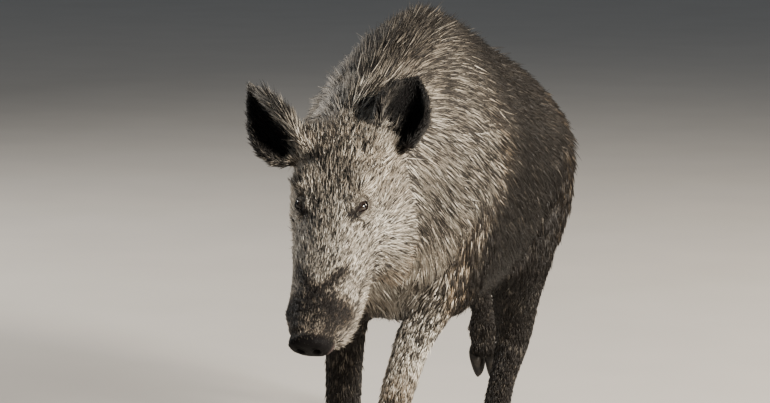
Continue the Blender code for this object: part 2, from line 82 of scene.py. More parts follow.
LEG_LINES = {  # middle of each leg from the top joint to the pastern
    "front_left": (
        (0.085, -0.120, 0.610),
        (0.086, -0.140, 0.440),
        (0.060, -0.230, 0.325),
        (0.044, -0.296, 0.205),
        (0.043, -0.308, 0.135),
        (0.042, -0.318, 0.078),
        (0.041, -0.336, 0.000),
    ),
    "front_right": (
        (-0.085, -0.110, 0.610),
        (-0.098, -0.090, 0.430),
        (-0.094, -0.116, 0.320),
        (-0.091, -0.132, 0.205),
        (-0.087, -0.120, 0.135),
        (-0.085, -0.108, 0.078),
        (-0.084, -0.124, 0.000),
    ),
    "hind_left": (
        (0.082, 0.410, 0.600),
        (0.100, 0.330, 0.440),
        (0.088, 0.330, 0.345),
        (0.074, 0.362, 0.255),
        (0.064, 0.306, 0.165),
        (0.058, 0.268, 0.080),
        (0.056, 0.246, 0.000),
    ),
    "hind_right": (
        (-0.080, 0.430, 0.600),
        (-0.098, 0.380, 0.480),
        (-0.086, 0.480, 0.430),
        (-0.070, 0.572, 0.388),
        (-0.062, 0.598, 0.300),
        (-0.058, 0.616, 0.222),
        (-0.056, 0.600, 0.150),
    ),
}

# ---- Coat by zone: depth over the skin, hair length, hair width, lift, tufts to the square metre ----
ZONES = {
    "trunk": (0.015, 0.050, 0.00135, math.radians(15), 193000),
    "neck": (0.021, 0.054, 0.00108, math.radians(20), 420000),
    "head": (0.0065, 0.018, 0.00092, math.radians(20), 550000),
    "jaw": (0.008, 0.022, 0.0010, math.radians(24), 470000),
    "snout": (0.0004, 0.004, 0.0006, math.radians(30), 0),
    "upper_leg": (0.012, 0.036, 0.0014, math.radians(15), 130000),
    "lower_leg": (0.0045, 0.015, 0.0012, math.radians(15), 200000),
    "ear": (0.0020, 0.013, 0.0010, math.radians(20), 380000),
    "tail": (0.004, 0.026, 0.0013, math.radians(14), 330000),
}
CHANGES = {  # what a region adds to those five
    "shank": (-0.0065, -0.017, -0.0003, 0, 56000),
    "mane": (0.028, 0.030, 0.0004, math.radians(27), -30000),
    "forehead": (0.004, 0.007, 0.0002, 0, 0),
    "cheek": (0.008, 0.012, 0.0002, math.radians(4), -80000),
    "muzzle": (-0.0025, -0.008, -0.0002, math.radians(2), 200000),
    "chin": (0, 0.010, 0, math.radians(8), 0),
}
ZONE_OF = {  # for the nodes whose names don't end in their zone
    "lower_jaw": "jaw",
    "snout_disc": "snout",
    "eye_left": "head",
    "eye_right": "head",
    "ear_left": "ear",
    "ear_right": "ear",
}

# ---- Colours ----
DARK = np.array((0.012, 0.010, 0.009))
PALE = np.array((0.62, 0.56, 0.47))
TAWNY = np.array((0.46, 0.32, 0.19))
CREAM = np.array((0.78, 0.73, 0.64))
FLESH_COLOUR = np.array((0.15, 0.115, 0.098))
# The nose disc's front: partly its own dark skin, partly painted shade.
DISC_SKIN_AND_SHADE = np.array((0.0045, 0.004, 0.004))
LIP_COLOUR = np.array((0.075, 0.054, 0.050))
LID_COLOUR = np.array((0.034, 0.026, 0.023))
WET_COLOUR = np.array((0.008, 0.006, 0.006))
# The ear's hollow: partly its own dark hair and skin, partly painted shade.
EAR_HOLLOW_AND_SHADE = np.array((0.004, 0.003, 0.003))


def ramp(low, high, value):
    """0 below low, 1 above high, smooth between."""
    t = np.clip((value - low) / (high - low), 0, 1)
    return t * t * (3 - 2 * t)


def unit(rows):
    return rows / np.maximum(np.linalg.norm(rows, axis=-1, keepdims=True), 1e-12)


def near(value, middle, width):
    return np.exp(-(((value - middle) / width) ** 2))


def left_or_right(side):
    return "left" if side > 0 else "right"


# ---- The skin's own surface ----
HORN = [name for name in nodes if "hoof" in name or "dewclaw" in name]
FLESH = [name for name in nodes if name not in HORN]
VOXEL = 0.0054
SMOOTH_ROUNDS = 7
FINE_REACHES = (0.037, 0.026, 0.018)  # round each eye; within each, the edges are halved once more
SWELL, EYE_SWELL = 0.0014, 0.004  # how far the nodes grow to meet each other
ZONE_ROUNDS = {"ear": 2, "snout": 2, "head": 24, "jaw": 24, "neck": 24}  # of blending, 16 for the others


def swollen_copy(bm, name, swell):
    """Adds a merged copy of a node to the bmesh, grown so that it meets its neighbours."""
    piece = bmesh.new()
    piece.from_mesh(nodes[name].data)
    bmesh.ops.remove_doubles(piece, verts=piece.verts, dist=1e-5)
    piece.normal_update()
    for vert in piece.verts:
        vert.co += vert.normal * swell
    mesh = bpy.data.meshes.new("copy")
    piece.to_mesh(mesh)
    piece.free()
    bm.from_mesh(mesh)
    bpy.data.meshes.remove(mesh)


def evaluated(obj):
    mesh = bpy.data.meshes.new_from_object(obj.evaluated_get(bpy.context.evaluated_depsgraph_get()))
    obj.modifiers.clear()
    obj.data = mesh
    return mesh


def make_outline():
    """One closed surface through all the nodes of flesh, finer at the eyes and nostrils."""
    bm = bmesh.new()
    for name in FLESH:
        swollen_copy(bm, name, EYE_SWELL if "eye" in name else SWELL)
    mesh = bpy.data.meshes.new("skin")
    bm.to_mesh(mesh)
    bm.free()
    skin = bpy.data.objects.new("skin", mesh)
    bpy.context.scene.collection.objects.link(skin)
    remesh = skin.modifiers.new("join", "REMESH")
    remesh.mode = "VOXEL"
    remesh.voxel_size = VOXEL
    soften = skin.modifiers.new("soften", "SMOOTH")
    soften.factor = 0.5
    soften.iterations = SMOOTH_ROUNDS
    evaluated(skin)
    bm = bmesh.new()
    bm.from_mesh(skin.data)
    for reach in FINE_REACHES:
        refine(bm, reach)
    bmesh.ops.triangulate(bm, faces=bm.faces)
    bm.to_mesh(skin.data)
    bm.free()
    return skin


def refine(bm, reach):
    """Halves the edges within reach of an eye, or within about half of it of a nostril."""
    centres = [(Vector(eye_place(side)[0]), reach) for side in (-1, 1)]
    centres += [(Vector(nostril_place(side)), reach * 0.55) for side in (-1, 1)]
    edges = [
        edge
        for edge in bm.edges
        if any((edge.verts[0].co - centre).length < radius for centre, radius in centres)
    ]
    bmesh.ops.subdivide_edges(bm, edges=edges, cuts=1, use_grid_fill=True)


def on_head(share, side, rise):
    return POLL + AXIS * (share * HEAD_LENGTH) + SIDE * side + BROW * rise


def eye_place(side):
    """The eyeball's middle and the way it looks, from its node."""
    name = "eye_" + left_or_right(side)
    low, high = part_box(name)
    look = unit(SIDE * side + BROW * EYE_FORWARD + AXIS * EYE_DOWN)
    return np.array((low + high) / 2), look


def nostril_place(side):
    return on_head(NOSTRIL_SHARE, side * NOSTRIL_SIDE, NOSTRIL_RISE)


def rows_of(items, field, kind, width):
    flat = np.empty(len(items) * width, kind)
    items.foreach_get(field, flat)
    return flat.reshape(-1, width)


def points_of(mesh):
    return rows_of(mesh.vertices, "co", np.float32, 3).astype(float)


def triangles_of(mesh):
    mesh.calc_loop_triangles()
    return rows_of(mesh.loop_triangles, "vertices", np.int32, 3)


def spread(values, edges, rounds):
    """Evens out values over the skin by averaging each point with its neighbours."""
    values = np.array(values, float)
    flat = values.reshape(len(values), -1)
    a, b = edges[:, 0], edges[:, 1]
    count = np.bincount(a, minlength=len(flat)) + np.bincount(b, minlength=len(flat))
    count = np.maximum(count, 1)
    for _ in range(rounds):
        for k in range(flat.shape[1]):
            total = np.bincount(a, flat[b, k], len(flat)) + np.bincount(b, flat[a, k], len(flat))
            flat[:, k] = 0.5 * flat[:, k] + 0.5 * total / count
    return flat.reshape(values.shape)


def normals_of(points, triangles):
    corner = points[triangles]
    face = np.cross(corner[:, 1] - corner[:, 0], corner[:, 2] - corner[:, 0])
    normal = np.zeros_like(points)
    for corner_index in range(3):
        for k in range(3):
            normal[:, k] += np.bincount(triangles[:, corner_index], face[:, k], len(points))
    return unit(normal)


def tree_of(names):
    """A search tree over the faces of the named nodes, and the index of each face's node."""
    corners, faces, owner, start = [], [], [], 0
    for index, name in enumerate(names):
        corners.append(points_of(nodes[name].data))
        faces.append(triangles_of(nodes[name].data) + start)
        owner += [index] * len(faces[-1])
        start += len(corners[-1])
    tree = BVHTree.FromPolygons(np.vstack(corners).tolist(), np.vstack(faces).tolist())
    return tree, np.array(owner)


def node_of_each(points):
    """The name of the flesh node nearest to each point."""
    tree, owner = tree_of(FLESH)
    found = [tree.find_nearest(point)[2] for point in points.tolist()]
    return np.array(FLESH)[owner[found]]


def gap_to_horn(points):
    """How far each point is from the nearest claw."""
    tree, _ = tree_of(HORN)
    return np.array([tree.find_nearest(point)[3] for point in points.tolist()])


def noise_over(points, scale, kind=noise.noise):
    return np.array([kind(point * scale) for point in map(Vector, points.tolist())])


class Skin:
    """The skin's points with all that the coat and the colours need to know at each of them."""


def measure(skin_object):
    """Where each point of the skin lies on the animal."""
    s = Skin()
    s.object = skin_object
    s.outer = points_of(skin_object.data)
    s.triangles = triangles_of(skin_object.data)
    s.edges = rows_of(skin_object.data.edges, "vertices", np.int32, 2)
    s.names = node_of_each(s.outer)
    find_zones(s)
    smooth_jaw_joint(s)
    s.outer_normal = unit(spread(normals_of(s.outer, s.triangles), s.edges, 6))
    offset = s.outer - POLL
    s.share, s.side, s.rise = offset @ AXIS / HEAD_LENGTH, offset @ SIDE, offset @ BROW
    s.x, s.y, s.z = (s.outer - MIDDLE).T
    s.head = s.zone["head"] + s.zone["jaw"] + s.zone["snout"]
    s.belly = ramp(0.25, 0.75, -s.outer_normal[:, 2]) * (s.zone["trunk"] + s.zone["neck"])
    s.ruffle, s.grain = noise_over(s.outer, 9), noise_over(s.outer, 34)
    s.horn_gap = gap_to_horn(s.outer)
    corneas = [centre + look * EYE_RADIUS for centre, look in map(eye_place, (-1, 1))]
    s.eye_gap = np.min([np.linalg.norm(s.outer - cornea, axis=1) for cornea in corneas], axis=0)
    measure_ears(s)
    find_regions(s)
    return s


def find_zones(s):
    """How far each point belongs to each coat zone; the shares sum to one."""
    s.zone = {}
    for zone in ZONES:
        own = np.isin(s.names, [name for name in FLESH if ZONE_OF.get(name, name).endswith(zone)])
        s.zone[zone] = spread(own.astype(float), s.edges, ZONE_ROUNDS.get(zone, 16))
    total = sum(s.zone.values())
    for zone in ZONES:
        s.zone[zone] /= np.maximum(total, 1e-9)


def smooth_jaw_joint(s):
    """Evens out the groove between the head and the neck, below the ears."""
    joint = ramp(0.0, 0.20, (s.zone["head"] + s.zone["jaw"]) * s.zone["neck"]) * (s.outer[:, 2] < 0.70)
    s.outer += (spread(s.outer, s.edges, 90) - s.outer) * (0.9 * joint)[:, None]


def measure_ears(s):
    """Each ear's hollow, its rim, how far along it a point lies and how far to its inner edge."""
    s.is_inner_ear, s.rim, s.along_ear, s.inward = np.zeros((4, len(s.outer)))
    for name, (side, *_) in EARS.items():
        root, tip, opening, edge = ear_frame(name)
        own = s.names == name
        local = s.outer[own] - root
        up = np.clip(local @ tip / EAR_LENGTH, 0, 1)
        half = 0.021 + 0.018 * np.sin(math.pi * np.minimum(up * 1.15, 1) ** 0.8)
        brim = 0.9 * half * (1 - np.cos(np.radians(122 - 50 * up))) - 0.018 * up**2
        s.is_inner_ear[own] = ramp(-0.05, 0.35, s.outer_normal[own] @ opening)
        s.rim[own] = np.maximum(ramp(0.40, 0.85, local @ opening / brim), ramp(0.80, 0.95, up))
        s.along_ear[own] = up
        s.inward[own] = -side * (local @ edge)
    s.is_inner_ear = spread(s.is_inner_ear, s.edges, 1)


def find_regions(s):
    """How far each point belongs to each region named in CHANGES."""
    crest = near(s.x, 0, 0.055) * ramp(0.35, 0.8, s.outer_normal[:, 2])
    mane = crest * (s.zone["neck"] + s.zone["trunk"]) * ramp(-0.40, -0.24, s.y)
    raised = 0.15 * np.char.startswith(s.names, "hind_right")
    s.region = {
        "shank": s.zone["upper_leg"] * ramp(0.47, 0.36, s.z - raised),
        "mane": mane * (1 - 0.85 * ramp(0.10, 0.42, s.y)),
        "forehead": s.head * (1 - ramp(0.28, 0.45, s.share)),
        "cheek": s.head * ramp(-0.06, -0.13, s.rise) * (1 - ramp(0.55, 0.75, s.share)),
        "muzzle": s.head * ramp(0.50, 0.80, s.share),
        "chin": s.head * ramp(-0.070, -0.105, s.rise) * ramp(0.42, 0.60, s.share),
    }


def ear_frame(name):
    """The ear's root, the way to its tip, the way its hollow faces, and its outer edge's side."""
    side, share, offset, lean, tilt, facing = EARS[name]
    root = on_head(share, side * offset, EAR_RISE)
    upright = UP * math.cos(lean) + SIDE * side * math.sin(lean)
    tip = unit(upright * math.cos(tilt) - AHEAD * math.sin(tilt))
    opening = AHEAD * math.cos(facing) + SIDE * side * math.sin(facing)
    opening = unit(opening - tip * (tip @ opening))
    return root, tip, opening, np.cross(tip, opening)


# ---- Coat depth, hair and lie ----
def plan_coat(s):
    """Depth, length, width, lift and number of the tufts at each point of the skin."""
    depth, length, width, lift, number = (
        sum(s.zone[zone] * values[column] for zone, values in ZONES.items())
        + sum(s.region[region] * values[column] for region, values in CHANGES.items())
        for column in range(5)
    )
    number *= 1 - 0.35 * s.belly
    length -= 0.006 * s.belly

    inner_ear = s.is_inner_ear * s.zone["ear"]
    on_left = s.x > 0
    band = np.where(on_left, 0, ramp(-0.006, 0.008, s.inward))  # the right ear's haired inner edge
    # The hollow of each ear has sparser hair; further on it is painted dark, partly its own dark hair and
    # skin, partly painted shade.
    s.hollow = inner_ear * (1 - np.where(on_left, 0.35, 0.85) * s.rim) * (1 - band)
    pale_edge = ramp(-0.004, 0.010, s.inward)
    s.fringe = s.rim * s.zone["ear"] * np.where(on_left, 0.20 + 0.60 * pale_edge, 0.10 + 0.90 * pale_edge)
    fringe = s.fringe * (1 - ramp(0.70, 0.92, s.along_ear))
    length += 0.002 * inner_ear + 0.018 * fringe + 0.004 * band * inner_ear
    lift += math.radians(8) * fringe
    number = number * (1 - 0.75 * s.hollow * (1 - fringe)) + 150000 * fringe

    tassel = s.zone["tail"] * ramp(0.47, 0.40, s.z)
    length += 0.034 * tassel
    number *= 1 + 0.8 * tassel

    coronet = 1 - ramp(0.004, 0.022, s.horn_gap)
    by_eye = 1 - ramp(0.011, 0.034, s.eye_gap)
    length = (length + 0.003 * coronet) * (1 - 0.78 * by_eye)
    lift -= math.radians(8) * by_eye
    number *= 1 + 0.5 * by_eye
    depth *= 1 - 0.55 * by_eye
    s.depth = spread(depth, s.edges, 4) * (1 - coronet)
    s.depth -= 0.003 * (1 - ramp(0.0015, 0.004, s.horn_gap))
    s.length = np.maximum(length, 0.0035)
    s.width = np.maximum(width - 0.0003 * by_eye, 0.0006)
    s.lift, s.number = lift, number


def comb(s, normal):
    """The lie of the coat: a direction in the skin at each point."""
    body = np.array((0.0, 1.0, 0.0)) - UP * (0.15 + 0.60 * ramp(0.02, 0.12, np.abs(s.x)))[:, None]
    body = body + UP * (0.35 * s.belly)[:, None]
    neck = np.array((0.0, 0.85, 0.0)) - UP * (0.05 + 0.85 * ramp(0.02, 0.10, np.abs(s.x)))[:, None]
    low = ramp(-0.045, -0.12, s.rise)[:, None]
    out = SIDE * np.sign(s.side)[:, None] * ramp(0.012, 0.05, np.abs(s.side))[:, None]
    face = -AXIS * (1 - 0.70 * low) + out * 0.35 - BROW * low * 0.95
    lie = body * s.zone["trunk"][:, None] + neck * s.zone["neck"][:, None]
    lie += face * s.head[:, None]
    lie += np.array((0.0, 0.1, -1.0)) * s.zone["tail"][:, None]
    for leg, line in LEG_LINES.items():
        own = np.char.startswith(s.names, leg).astype(float)
        own = spread(own, s.edges, 10)
        lie += leg_direction(s, line) * (own * 1.4)[:, None]
    for name in EARS:
        root, tip, opening, edge = ear_frame(name)
        own = spread((s.names == name).astype(float), s.edges, 1)[:, None]
        way = (s.outer - root) @ edge
        spray = edge * np.sign(way)[:, None] * ramp(0.010, 0.028, np.abs(way))[:, None]
        lie += (tip + spray * 0.45 * s.rim[:, None] - opening * 0.1) * own * 3
    lie = lie + noise_over(s.outer, 7, noise.noise_vector) * 0.35 * (1 - 0.5 * s.head)[:, None]
    for side in (-1, 1):
        centre, look = eye_place(side)
        away = s.outer - centre
        gap = np.linalg.norm(away - look * EYE_RADIUS, axis=1)
        lie = lie + unit(away) * (2.2 * (1 - ramp(0.012, 0.034, gap)))[:, None]
    return unit(flattened(spread(unit(flattened(lie, normal)), s.edges, 5), normal))


def flattened(ways, normal):
    """The ways without what points out of the skin."""
    return ways - normal * (ways * normal).sum(1)[:, None]


def leg_direction(s, line):
    """Down along the leg's middle line."""
    knots = np.array(line) + MIDDLE
    best = np.full(len(s.outer), 9.0)
    way = np.zeros_like(s.outer)
    for start, end in zip(knots, knots[1:]):
        run = end - start
        t = np.clip((s.outer - start) @ run / (run @ run), 0, 1)
        gap = np.linalg.norm(s.outer - start - t[:, None] * run, axis=1)
        nearer = gap < best
        best[nearer] = gap[nearer]
        way[nearer] = unit(run)
    return spread(way, s.edges, 8)


# ---- Shape of the skin under the coat ----
FACE_FORMS = {  # share of the head, distance from the middle, rise, reach, height
    "brow": (0.30, 0.040, -0.010, 0.022, 0.004),
    "hollow before the eye": (0.47, 0.052, -0.030, 0.016, -0.004),
    "cheekbone's end": (0.56, 0.046, -0.060, 0.022, 0.003),
    "bulge of the lip": (0.82, 0.042, -0.062, 0.016, 0.006),
    "fold on the nose": (0.555, 0.036, -0.018, 0.006, 0.003),
}
WRINKLE_LENGTH = 0.0022


def shape_skin(s):
    """Sinks the surface by the coat's depth, then models the face."""
    move = spread(-s.outer_normal * s.depth[:, None], s.edges, 5)
    s.points = s.outer + move
    s.normal = normals_of(s.points, s.triangles)
    s.bare, s.wet, s.tear = np.zeros((3, len(s.points)))
    model_folds(s)
    for side in (-1, 1):
        model_lids(s, side)
        model_nostril(s, side)
    s.normal = normals_of(s.points, s.triangles)


def push(s, centre, reach, amount):
    """Moves the skin near a place along its normals: outwards if the amount is above zero."""
    gap = np.linalg.norm(s.points - centre, axis=1)
    s.points += s.normal * (amount * np.exp(-((gap / reach) ** 2)))[:, None]


def model_folds(s):
    """Raises and sinks the forms of the face, the mouth line, the disc's edge and the nose's wrinkles."""
    for side in (-1, 1):
        for share, offset, rise, reach, height in FACE_FORMS.values():
            push(s, on_head(share, side * offset, rise), reach, height)
    front = s.head * ramp(0.60, 0.68, s.share) * (1 - ramp(0.935, 0.955, s.share))
    line = near(s.rise, MOUTH_RISE + 0.012 * ramp(0.80, 0.98, s.share), 0.0035) * front
    s.points -= s.normal * (0.0050 * line)[:, None]
    s.lip = line
    rim = s.head * near(s.share, 0.926, 0.010)
    s.points -= s.normal * (0.0022 * rim)[:, None]
    wrinkled = s.head * ramp(0.72, 0.80, s.share) * (1 - ramp(0.90, 0.93, s.share))
    wave = np.sin(s.share * HEAD_LENGTH / WRINKLE_LENGTH) * ramp(-0.05, -0.02, s.rise)
    s.points += s.normal * (0.0004 * wrinkled * wave)[:, None]


def model_lids(s, side):
    """Lays the lids on the eyeball round an almond opening, with a fold round them and a tear line."""
    centre, look = eye_place(side)
    bridge = unit(BROW - SIDE * side - look * ((BROW - SIDE * side) @ look))
    along = unit(AXIS - look * (AXIS @ look) + bridge * LID_SLANT)
    across = np.cross(look, along) * side
    local = s.points - centre
    a, b, w = local @ along, local @ across, local @ look
    reach = np.sqrt(a * a + b * b)
    own = (reach < 0.034) & (w > -0.004) & (s.head > 0.3)
    ball = EYE_RADIUS + 0.0012
    on_ball = np.sqrt(np.maximum(ball**2 - reach**2, 0.0))
    slope = np.where(reach < ball * 0.8, on_ball, 0.6 * ball - (reach - ball * 0.8) * 0.45)
    half = LID_HALF_HEIGHT * (1 - np.abs(a / LID_HALF_LENGTH) ** 2)
    beyond = np.abs(b) - half
    margin = near(beyond, 0.0012, 0.0012)
    lid = slope + 0.0014 * margin
    lid = np.where(beyond < 0, on_ball - 0.0052 * ramp(0, 0.0012, -beyond), lid)
    tear = near(b, 0, 0.0022) * ramp(0.008, 0.011, a) * (1 - ramp(0.020, 0.027, a))
    keep = ramp(0.0135, 0.030, reach)
    target = lid * (1 - keep) + w * keep
    target += 0.0010 * near(reach, 0.0190, 0.0034) - 0.0010 * near(reach, 0.0150, 0.0018)
    target -= 0.0026 * tear
    change = np.where(own, target - w, 0.0)
    s.points += look * change[:, None]
    bare = np.maximum(1 - ramp(0.0016, 0.0042, beyond), tear)
    wet = np.maximum(1 - ramp(0.0006, 0.0024, beyond), 0.8 * tear)
    s.bare = np.maximum(s.bare, np.where(own, bare, 0))
    s.wet = np.maximum(s.wet, np.where(own, wet, 0))
    stain = np.exp(-((b / 0.0060) ** 4)) * ramp(0.007, 0.011, a) * ramp(0.046, 0.036, a)
    s.tear = np.maximum(s.tear, np.where((s.head > 0.3) & (w > -0.030), stain, 0))


def model_nostril(s, side):
    """Sinks an oval nostril into the disc, and raises a ring round it."""
    centre = nostril_place(side)
    local = s.points - centre
    across, up, out = local @ SIDE, local @ BROW, local @ AXIS
    turned = across * math.cos(0.35) - up * math.sin(0.35) * side
    other = across * math.sin(0.35) * side + up * math.cos(0.35)
    oval = np.sqrt((turned / 0.0062) ** 2 + (other / 0.0085) ** 2)
    own = (np.abs(out) < 0.03) & (s.share > 0.93)
    hollow = np.where(own, (1 - ramp(0.45, 1.05, oval)), 0)
    s.points -= AXIS * (0.014 * hollow)[:, None]
    s.points += AXIS * np.where(own, 0.0012 * near(oval, 1.3, 0.2), 0)[:, None]
    s.wet = np.maximum(s.wet, hollow)
    s.bare = np.maximum(s.bare, hollow)


# ---- Markings, the same for skin and coat ----
ZONE_TONES = {  # share of pale hairs, how pale they are, how tawny
    "trunk": (0.21, 0.165, 0.09),
    "neck": (0.60, 0.76, 0.15),
    "head": (0.66, 0.81, 0.15),
    "jaw": (0.82, 0.95, 0.16),
    "snout": (0.4, 0.4, 0.2),
    "upper_leg": (0.15, 0.155, 0.20),
    "lower_leg": (0.16, 0.17, 0.24),
    "ear": (0.55, 0.62, 0.10),
    "tail": (0.3, 0.3, 0.6),
}
# How far back the pale ruff reaches at each height over the floor:
RUFF_HEIGHTS = (0.465, 0.49, 0.54, 0.59, 0.62, 0.67, 0.76, 0.85, 0.95)
RUFF_REACHES = (-0.165, -0.156, -0.128, -0.085, -0.064, -0.035, -0.032, -0.017, 0.0)


class Tones:
    """Share of pale tufts, how pale they are, and how tawny, at each point of the skin."""

    def __init__(self, s):
        self.share, self.light, self.warm = (
            sum(s.zone[zone] * values[column] for zone, values in ZONE_TONES.items()) for column in range(3)
        )

    def add(self, where, share=0.0, light=0.0, warm=0.0):
        self.share += share * where
        self.light += light * where
        self.warm += warm * where

    def fade(self, where, share=0.0, light=0.0):
        """Takes away these parts of the two where it is 1."""
        self.share *= 1 - share * where
        self.light *= 1 - light * where


def mark_body(s, tones):
    body = s.zone["trunk"] + s.zone["neck"] + s.zone["upper_leg"]
    border = np.interp(s.z, RUFF_HEIGHTS, RUFF_REACHES)
    past = s.y - border + 0.050 * s.ruffle + 0.020 * s.grain
    # Painted light and shade: below the shoulder the pale ruff reaches fully down the lit left side and only
    # about a third as far on the shaded right side.
    lit_left_front = np.where(s.x > 0, 1.0, 0.35)
    reach = body * np.where(s.z < 0.46, lit_left_front, 1.0) * ramp(0.20, 0.34, s.z)
    ruff = reach * (1 - ramp(-0.070, 0.060, past))
    tones.share += (0.59 - tones.share) * ruff
    bright = reach * (1 - ramp(0.000, 0.110, past))
    tones.light += (0.81 - tones.light) * bright
    tones.warm += (0.15 - tones.warm) * bright
    edge = body * near(past, 0.000, 0.030) * ramp(0.30, 0.45, s.z) * ramp(0.03, 0.08, np.abs(s.x))
    tones.add(edge * ramp(0.80, 0.66, s.z), warm=0.55)
    tones.add(edge, light=0.05)
    throat = s.zone["neck"] * ramp(0.58, 0.48, s.z)
    tones.add(throat, share=0.26, light=0.22, warm=0.16)
    elbow = body * near(s.y, -0.12, 0.10) * ramp(0.50, 0.42, s.z) * ramp(0.33, 0.37, s.z) * (1 - ruff)
    tones.add(elbow, warm=0.45)
    tones.add(body * near(s.y, 0.16, 0.13) * near(s.z, 0.56, 0.10), warm=0.30)
    rump = body * ramp(0.30, 0.44, s.y) * ramp(0.36, 0.46, s.z) * ramp(0.82, 0.70, s.z)
    tones.add(rump, share=0.17, light=0.13, warm=0.50)
    return ruff


def mark_face(s, tones):
    tones.add(s.region["cheek"], share=0.02, light=0.02, warm=-0.04)
    tones.add(s.region["forehead"], share=0.04, light=-0.04, warm=0.14)
    tones.add(1 - ramp(0.014, 0.040, s.eye_gap), light=-0.10)
    tones.add(s.head * ramp(-0.115, -0.15, s.rise) * ramp(0.25, 0.45, s.share), warm=0.45)
    # Painted light: behind the left ear, where the ear's shadow falls, the coat is made paler.
    tones.add(near(s.share, -0.01, 0.06) * near(s.side, 0.037, 0.026), share=0.30, light=0.30)
    across = np.abs(s.side)
    # Painted shade: the poll between the ears is darkened, as where the ears' shadow falls.
    poll_shade = s.head * near(s.share, -0.03, 0.06) * near(s.side, 0.0, 0.03)
    slant = s.head * near(s.share, 0.785 - 2.7 * across, 0.030) * ramp(0.052, 0.038, across)
    lip = s.head * near(s.share, 0.83, 0.05) * near(s.rise, -0.040, 0.020) * ramp(0.018, 0.032, across)
    # The dark band across the nose is partly the snout's own dark hair and partly painted shade.
    bridge = s.head * near(s.share, 0.822, 0.058) * ramp(0.046, 0.026, across) * ramp(-0.062, -0.037, s.rise)
    for patch, amount in ((poll_shade, 0.25), (slant, 0.80), (lip, 0.75), (bridge, 0.80)):
        tones.fade(patch, share=amount, light=0.8 * amount)
    tones.warm += 0.70 * lip + 0.30 * slant + 0.20 * bridge
    nose_top = s.head * ramp(0.84, 0.90, s.share) * ramp(-0.055, -0.035, s.rise)
    tones.add(nose_top, share=-0.22, light=-0.20, warm=0.14)
    lip_side = s.head * ramp(0.74, 0.82, s.share) * ramp(0.018, 0.032, across)
    tones.add(lip_side, share=-0.12, light=-0.24)
    tones.fade(s.lip, share=0.92, light=0.80)
    tones.fade(s.tear, share=0.92, light=0.80)


def mark_ears(s, tones):
    ear = s.zone["ear"]
    # The ear's hollow darkened: partly its own dark hair, partly painted shade.
    tones.fade(s.hollow, share=0.95, light=0.93)
    tones.add(s.fringe, share=0.30, light=0.26)
    tones.add(ear * s.rim, share=-0.20, light=-0.20)
    # Painted shade: only the left ear is darkened above this height, as where its hollow lies in shade.
    tones.fade(ear * (s.x > 0) * ramp(0.76, 0.80, s.z), share=0.75, light=0.60)


# Painted light: the left foreleg is made paler and tawnier than the right one, as where light falls on it.
def paint_light_on_left_foreleg(s, tones):
    own = np.char.startswith(s.names, "front_left")
    tones.add(near(s.z, 0.26, 0.06) * own, share=0.22, light=0.18, warm=0.40)
    tones.add(s.zone["upper_leg"] * ramp(0.46, 0.28, s.z) * own, share=0.22, light=0.08)
    tones.add(s.zone["lower_leg"] * ramp(0.12, 0.26, s.z) * own, share=0.30, light=0.34, warm=0.16)


def mark_crest(s, tones, ruff):
    before_hump = ramp(-0.36, -0.20, s.y)
    nape = (s.zone["neck"] + s.zone["trunk"]) * ramp(0.66, 0.80, s.z) * (0.4 + 0.6 * ruff) * before_hump
    tones.fade(nape, share=0.30, light=0.26)
    tones.fade(s.region["mane"] * before_hump, share=0.34)
    tones.add(s.region["mane"], light=-0.10)


def markings(s):
    tones = Tones(s)
    ruff = mark_body(s, tones)
    mark_face(s, tones)
    mark_ears(s, tones)
    paint_light_on_left_foreleg(s, tones)
    mark_crest(s, tones, ruff)
    s.pale_share = np.clip(tones.share + 0.12 * s.ruffle * (1 - 0.7 * s.head), 0, 0.95)
    s.light = np.clip(tones.light * (1 + 0.14 * s.grain), 0, 1)
    s.warm = np.clip(tones.warm + 0.18 * s.ruffle, 0, 1)


def tip_colour(light, warm):
    """Colour of a tip: black-brown, through beige or tawny, to cream."""
    light = np.asarray(light)[..., None]
    warm = np.asarray(warm)[..., None]
    bright = PALE * (1 - warm) + TAWNY * warm
    bright = bright + (CREAM - bright) * ramp(0.75, 1.0, light) * (1 - 0.6 * warm)
    return DARK + (bright - DARK) * light**1.25


def skin_colour(s):
    def over(colour, layer, where):
        return colour * (1 - where[:, None]) + layer * where[:, None]

    coat = tip_colour(s.light * (0.20 + 0.40 * s.pale_share), s.warm)
    colour = coat * 0.36 + FLESH_COLOUR * 0.06 * s.light[:, None]
    nose = np.maximum(s.zone["snout"], s.head * ramp(0.925, 0.945, s.share))
    rim = ramp(0.026, 0.034, np.hypot(s.side, (s.rise + 0.038) * 1.1))
    # The disc's front is near black: partly its own dark skin, partly painted shade.
    disc = over(DISC_SKIN_AND_SHADE, LIP_COLOUR, ramp(-0.040, -0.060, s.rise) * rim)
    colour = over(colour, disc, nose)
    colour = over(colour, LID_COLOUR, s.bare * (1 - s.zone["snout"]))
    colour = over(colour, WET_COLOUR, s.wet) * (1 - 0.8 * s.lip[:, None])
    # The ear's hollow: partly its own dark skin, partly painted shade.
    return np.clip(over(colour, EAR_HOLLOW_AND_SHADE, s.hollow), 0, 1)


# ---- Unwrap of the skin ----
def turn_of(across, along):
    """The angle round an axis as a share of a full turn."""
    return np.arctan2(across, along) / (2 * math.pi) + 0.5


